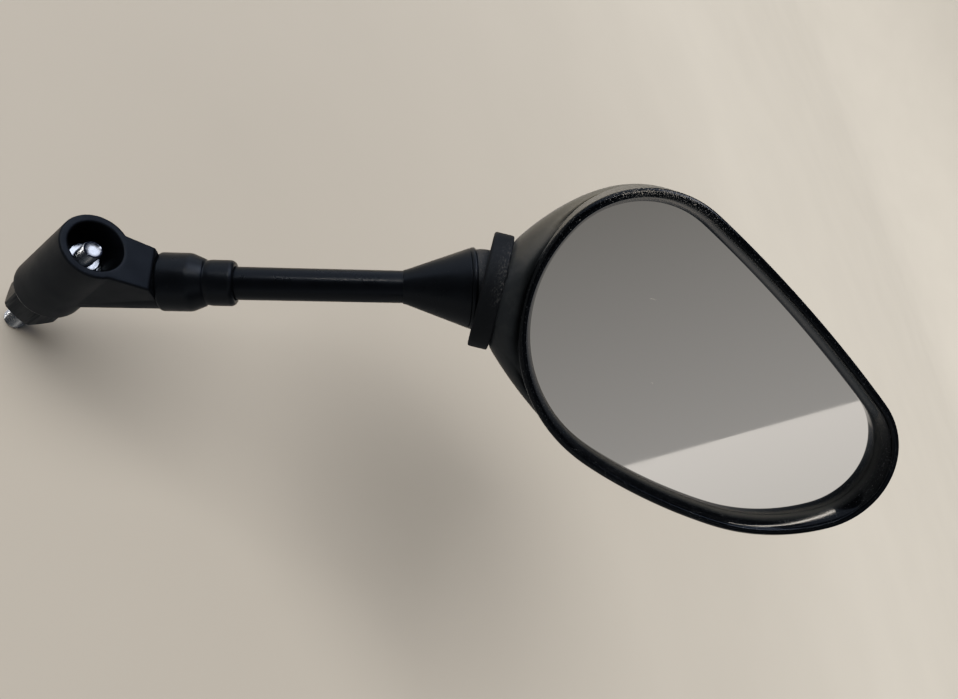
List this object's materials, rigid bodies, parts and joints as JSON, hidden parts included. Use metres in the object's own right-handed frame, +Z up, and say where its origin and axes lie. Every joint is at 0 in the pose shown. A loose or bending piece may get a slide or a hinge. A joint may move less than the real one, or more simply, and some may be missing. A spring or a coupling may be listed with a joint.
{
  "type": "motorcycle mirror",
  "caption": "Right-hand motorcycle mirror: cast knuckle on a threaded stud with hex adapter, round stem with boots, ball-jointed egg-shaped head with recessed glass.",
  "frame": {"origin": "on the stud's axis, at the hex adapter's lower seating face", "axes": "+Z up the stud, -Y the way the glass faces (rearwards), +X outboard; the stem rises 42 degrees on a heading 50.5 degrees from +X towards +Y"},
  "size_m": [0.2805, 0.1975, 0.3193],
  "materials": {
    "cast_black": "satin black powder coat",
    "hex_black": "satin",
    "zinc": "bright zinc",
    "bronze": "dull",
    "stem_black": "gloss",
    "boot_rubber": "satin",
    "ball_plastic": "dull",
    "nylon": "natural nylon",
    "ring_rubber": "dull, scuffed",
    "inner_plastic": "dull",
    "shell_plastic": "satin",
    "bead_plastic": "gloss",
    "mirror_glass": "polished",
    "foam": "closed-cell foam"
  },
  "bodies": {
    "mount": {"pivot_stud": "zinc", "hex_adapter": "hex_black", "thrust_washer": "zinc", "friction_washer": "zinc", "disc_spring_lower": "zinc", "disc_spring_upper": "zinc", "pivot_nut": "zinc"},
    "arm": {"knuckle": "cast_black", "pivot_bush": "bronze", "stem": "stem_black", "stem_lock_nut": "zinc", "lower_boot": "boot_rubber", "upper_boot": "boot_rubber", "ball_carrier": "inner_plastic", "carrier_pin": "zinc", "swivel_ball": "ball_plastic"},
    "cup": {"inner_cup": "nylon"},
    "liner": {"ball_liner": "nylon"},
    "head": {"clamp_washer": "zinc", "clamp_screw": "zinc", "clamp_spring_inner": "zinc", "clamp_spring_outer": "zinc", "clamp_nut": "zinc", "neck_ring": "ring_rubber", "socket_cup": "inner_plastic", "neck_collar": "inner_plastic", "neck_screws": "zinc", "shell": "shell_plastic", "rim_bead": "bead_plastic", "glass": "mirror_glass", "foam_pad": "foam", "glass_tray": "inner_plastic"}
  },
  "joints": [
    {"name": "arm_turn", "type": "hinge", "parent": "mount", "child": "arm", "pos_m": [0, 0, 0.03], "axis": [0, 0, 1], "range_deg": [-60, 60]},
    {"name": "head_swing", "type": "hinge", "parent": "arm", "child": "cup", "pos_m": [0.09005, 0.10924, 0.15927], "axis": [0.4256, 0.5163, -0.7431], "range_deg": [-30, 2]},
    {"name": "head_tilt", "type": "hinge", "parent": "cup", "child": "liner", "pos_m": [0.09005, 0.10924, 0.15927], "axis": [-0.6298, 0.7587, 0.1664], "range_deg": [-10, 10]},
    {"name": "head_turn", "type": "hinge", "parent": "liner", "child": "head", "pos_m": [0.09005, 0.10924, 0.15927], "axis": [0.6497, 0.3972, 0.6481], "range_deg": [-45, 45]}
  ]
}
